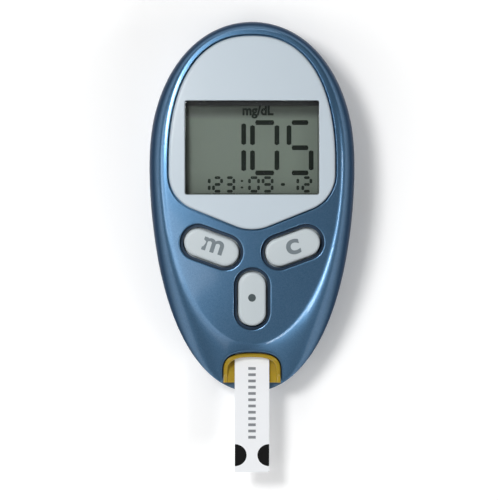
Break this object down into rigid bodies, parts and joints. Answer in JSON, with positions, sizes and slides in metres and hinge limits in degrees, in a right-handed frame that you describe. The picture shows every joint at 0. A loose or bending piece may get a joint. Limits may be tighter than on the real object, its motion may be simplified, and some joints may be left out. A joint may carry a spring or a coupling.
{
  "type": "blood glucose meter",
  "caption": "Egg-shaped hand-held blood glucose meter with a shield-shaped display panel, three keys, an amber port with a test strip, and a sliding battery door.",
  "frame": {"origin": "on the flat back that the meter rests on, at the middle of the case's length and width", "axes": "+Z out of the face, +Y towards the display end, +X to the right of someone who reads the display; the test strip points to -Y"},
  "size_m": [0.041, 0.09, 0.0169],
  "materials": {
    "case_front": "satin metallic blue",
    "case_rear": "fine texture, darker blue",
    "panel": "pale grey, semi-gloss",
    "adhesive": "film",
    "window": "clear, polished",
    "foam": "matte",
    "amber": "translucent amber",
    "label": "satin film",
    "steel": "brushed",
    "keys": "satin pale grey",
    "silicone": "matte",
    "polarizer": "semi-gloss film",
    "lcd_glass": "polished",
    "white_plastic": "satin",
    "led": "clear resin",
    "board": "solder mask",
    "chip": "moulded, matte",
    "chip_ceramic": "ceramic",
    "tin": "tinned",
    "ivory_plastic": "satin",
    "gold": "plated",
    "tab_film": "clear film",
    "strip_white": "satin film",
    "carbon": "printed carbon"
  },
  "bodies": {
    "case": {"front_cover": "case_front", "rear_cover": "case_rear", "face_panel": "panel", "panel_adhesive": "adhesive", "display_window": "window", "display_gasket": "foam", "port_light_lens": "amber", "rear_label": "label", "case_screws": "steel", "keypad_mat": "silicone", "key_dome_left": "silicone", "key_dome_right": "silicone", "key_dome_centre": "silicone", "lcd_front_polarizer": "polarizer", "lcd_front_glass": "lcd_glass", "lcd_rear_glass": "lcd_glass", "lcd_rear_polarizer": "polarizer", "lcd_holder": "white_plastic", "backlight_panel": "white_plastic", "backlight_led": "led", "elastomer_connector": "foam", "main_board": "board", "processor_chip": "chip", "memory_chip": "chip", "analog_chip": "chip", "clock_crystal": "tin", "board_passives": "chip_ceramic", "beeper": "chip", "port_leds": "led", "strip_connector": "ivory_plastic", "strip_contacts": "gold", "data_jack": "chip", "data_jack_contacts": "tin", "battery_cell": "steel", "battery_positive_clip": "tin", "battery_negative_spring": "tin", "battery_pull_tab": "tab_film"},
    "left_key": {"left_button": "keys"},
    "right_key": {"right_button": "keys"},
    "centre_key": {"centre_button": "keys"},
    "door": {"battery_door": "case_rear"},
    "strip": {"strip_base": "strip_white", "strip_electrodes": "carbon", "strip_spacer": "strip_white", "strip_top_film": "strip_white"}
  },
  "joints": [
    {"name": "left_key_press", "type": "slide", "parent": "case", "child": "left_key", "axis": [0, 0, -1], "range_m": [0, 0.0008], "stiffness_N_per_m": 500, "springref_m": -0.0006, "deforming": ["key_dome_left"]},
    {"name": "right_key_press", "type": "slide", "parent": "case", "child": "right_key", "axis": [0, 0, -1], "range_m": [0, 0.0008], "stiffness_N_per_m": 500, "springref_m": -0.0006, "deforming": ["key_dome_right"]},
    {"name": "centre_key_press", "type": "slide", "parent": "case", "child": "centre_key", "axis": [0, 0, -1], "range_m": [0, 0.0008], "stiffness_N_per_m": 500, "springref_m": -0.0006, "deforming": ["key_dome_centre"]},
    {"name": "door_slide", "type": "slide", "parent": "case", "child": "door", "axis": [0, 1, 0], "range_m": [0, 0.035]},
    {"name": "strip_slide", "type": "slide", "parent": "case", "child": "strip", "axis": [0, -1, 0], "range_m": [0, 0.015]}
  ]
}
